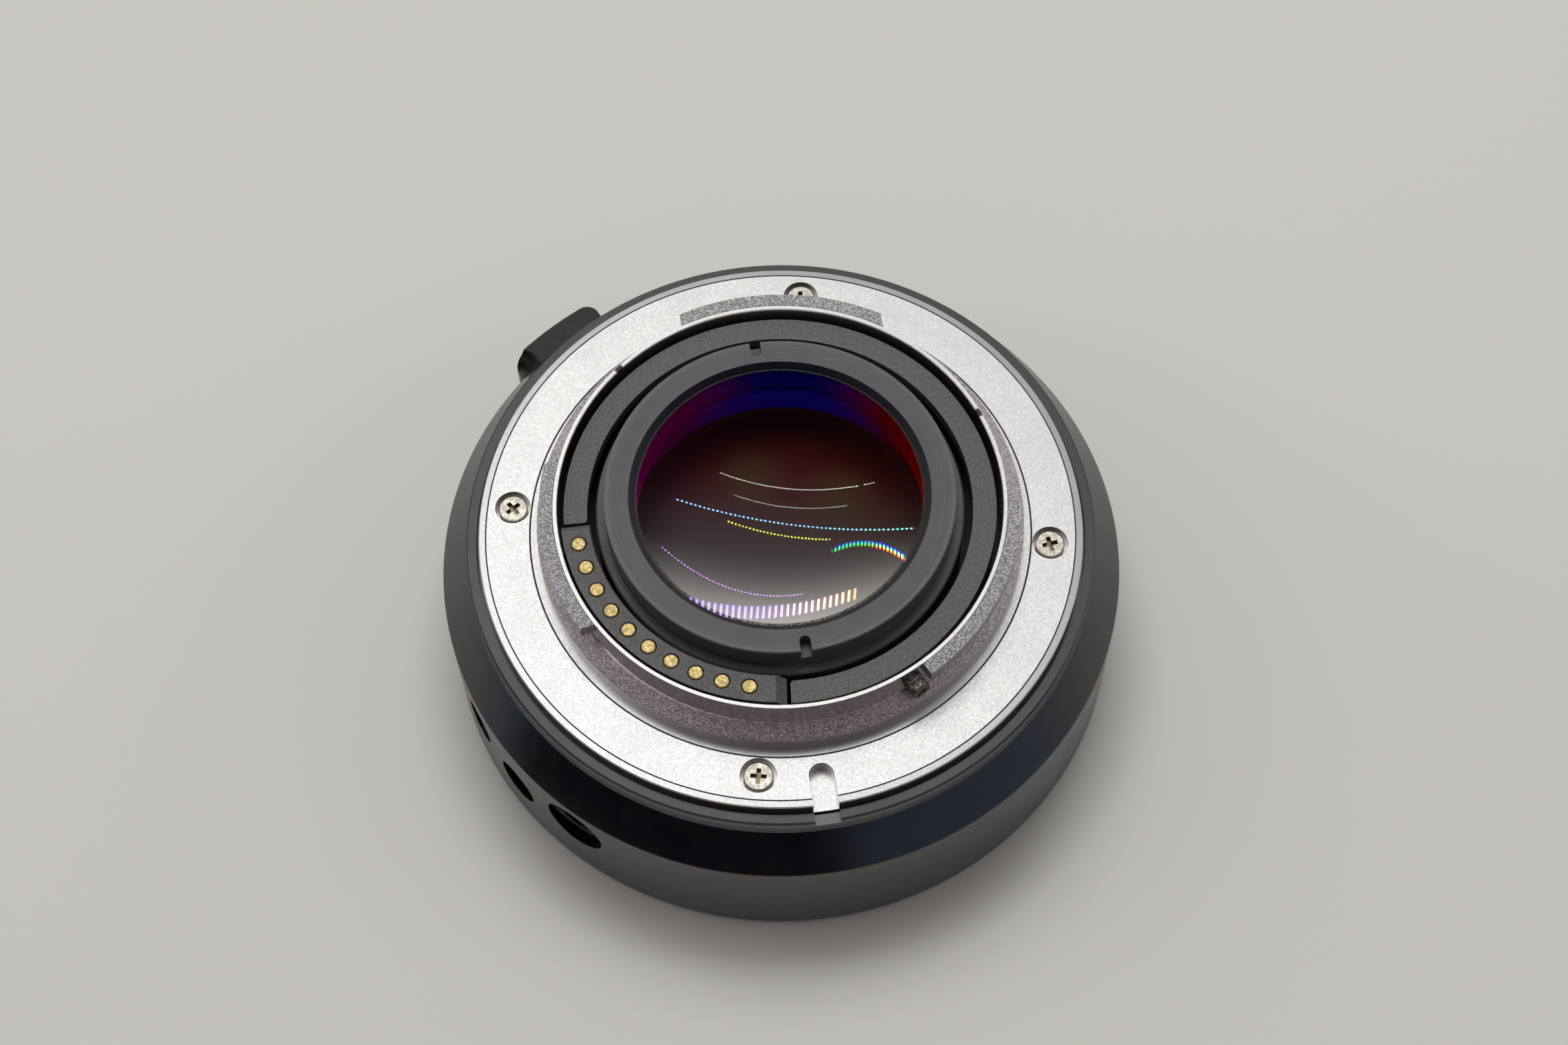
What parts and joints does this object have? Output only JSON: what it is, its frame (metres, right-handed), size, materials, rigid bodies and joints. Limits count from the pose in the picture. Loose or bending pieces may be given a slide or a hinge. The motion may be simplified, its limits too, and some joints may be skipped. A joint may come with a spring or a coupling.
{
  "type": "lens mount adapter",
  "caption": "Round focal-reducing lens mount adapter: lugged bayonet and contact pads on the camera side, bored mount with sprung pins, a lock pin and its release lever on the lens side.",
  "frame": {"origin": "centre of the lens mount's face, on the optical axis", "axes": "+Z along the optical axis from the lens side to the camera side; the camera flange's screws lie on the X and Y axes; the lock pin slot is near -Y and the release lever near -X +Y"},
  "size_m": [0.0656, 0.0656, 0.0273],
  "materials": {
    "barrel_black": "black anodised, fine satin",
    "mount_satin_chrome": "satin chrome on brass, bead blasted",
    "screw_nickel": "nickel plated steel",
    "dark_steel": "blackened steel, dull",
    "textured_black": "fine sand texture, matt",
    "block_black": "moulded, fine grain",
    "contact_gold": "gold plated",
    "cell_black": "black anodised, turned",
    "coated_glass": "polished, multi-coated",
    "plain_steel": "bright steel",
    "spring_steel": "spring steel",
    "board_green": "glass-fibre board with green mask",
    "chip_black": "moulded",
    "capacitor_tan": "fired ceramic with tinned ends",
    "flex_amber": "polyimide film",
    "dot_white": "enamel",
    "lever_black": "black, satin"
  },
  "bodies": {
    "adapter": {"board_screws": "plain_steel", "camera_contact_block": "block_black", "camera_contact_pads": "contact_gold", "camera_flex": "flex_amber", "camera_mount": "mount_satin_chrome", "camera_mount_screws": "screw_nickel", "chip_capacitors": "capacitor_tan", "circuit_board": "board_green", "contact_spring_1": "spring_steel", "contact_spring_2": "spring_steel", "contact_spring_3": "spring_steel", "contact_spring_4": "spring_steel", "contact_spring_5": "spring_steel", "contact_spring_6": "spring_steel", "contact_spring_7": "spring_steel", "contact_spring_8": "spring_steel", "controller_chip": "chip_black", "field_lens": "coated_glass", "flex_connector": "chip_black", "foot_screws": "plain_steel", "front_baffle": "cell_black", "front_lens": "coated_glass", "front_retaining_ring": "cell_black", "inner_frame": "cell_black", "inner_frame_screws": "plain_steel", "lens_cell": "cell_black", "lens_contact_block": "block_black", "lens_contact_block_screws": "plain_steel", "lens_index_dot": "dot_white", "lens_mount": "mount_satin_chrome", "lens_mount_screws": "screw_nickel", "light_baffle": "textured_black", "lock_pin_spring": "spring_steel", "lug_stop_pin": "dark_steel", "main_barrel": "barrel_black", "middle_lens": "coated_glass", "middle_spacer": "cell_black", "mount_leaf_spring": "spring_steel", "rear_lens": "coated_glass", "rear_retaining_ring": "cell_black", "rear_spacer": "cell_black", "regulator_chip": "chip_black", "side_screws": "dark_steel"},
    "lever": {"release_lever": "lever_black"},
    "lock_pin_body": {"lock_pin": "plain_steel"},
    "pin_1": {"contact_pin_1": "contact_gold"},
    "pin_2": {"contact_pin_2": "contact_gold"},
    "pin_3": {"contact_pin_3": "contact_gold"},
    "pin_4": {"contact_pin_4": "contact_gold"},
    "pin_5": {"contact_pin_5": "contact_gold"},
    "pin_6": {"contact_pin_6": "contact_gold"},
    "pin_7": {"contact_pin_7": "contact_gold"},
    "pin_8": {"contact_pin_8": "contact_gold"}
  },
  "joints": [
    {"name": "lever_turn", "type": "hinge", "parent": "adapter", "child": "lever", "pos_m": [0, 0, 0.008], "axis": [0, 0, 1], "range_deg": [0, 4], "stiffness_Nm_per_rad": 0.05, "springref_deg": 11.46},
    {"name": "lock_pin_slide", "type": "slide", "parent": "adapter", "child": "lock_pin_body", "axis": [0, 0, -1], "range_m": [0, 0.0016], "deforming": ["lock_pin_spring"]},
    {"name": "contact_pin_1_press", "type": "slide", "parent": "adapter", "child": "pin_1", "axis": [0, 0, 1], "range_m": [0, 0.0008], "stiffness_N_per_m": 400, "springref_m": -0.0008, "deforming": ["contact_spring_1"]},
    {"name": "contact_pin_2_press", "type": "slide", "parent": "adapter", "child": "pin_2", "axis": [0, 0, 1], "range_m": [0, 0.0008], "stiffness_N_per_m": 400, "springref_m": -0.0008, "deforming": ["contact_spring_2"]},
    {"name": "contact_pin_3_press", "type": "slide", "parent": "adapter", "child": "pin_3", "axis": [0, 0, 1], "range_m": [0, 0.0008], "stiffness_N_per_m": 400, "springref_m": -0.0008, "deforming": ["contact_spring_3"]},
    {"name": "contact_pin_4_press", "type": "slide", "parent": "adapter", "child": "pin_4", "axis": [0, 0, 1], "range_m": [0, 0.0008], "stiffness_N_per_m": 400, "springref_m": -0.0008, "deforming": ["contact_spring_4"]},
    {"name": "contact_pin_5_press", "type": "slide", "parent": "adapter", "child": "pin_5", "axis": [0, 0, 1], "range_m": [0, 0.0008], "stiffness_N_per_m": 400, "springref_m": -0.0008, "deforming": ["contact_spring_5"]},
    {"name": "contact_pin_6_press", "type": "slide", "parent": "adapter", "child": "pin_6", "axis": [0, 0, 1], "range_m": [0, 0.0008], "stiffness_N_per_m": 400, "springref_m": -0.0008, "deforming": ["contact_spring_6"]},
    {"name": "contact_pin_7_press", "type": "slide", "parent": "adapter", "child": "pin_7", "axis": [0, 0, 1], "range_m": [0, 0.0008], "stiffness_N_per_m": 400, "springref_m": -0.0008, "deforming": ["contact_spring_7"]},
    {"name": "contact_pin_8_press", "type": "slide", "parent": "adapter", "child": "pin_8", "axis": [0, 0, 1], "range_m": [0, 0.0008], "stiffness_N_per_m": 400, "springref_m": -0.0008, "deforming": ["contact_spring_8"]}
  ],
  "couplings": [
    {"joint": "lock_pin_slide", "follows": "lever_turn", "m_per_rad": 0.022918}
  ]
}
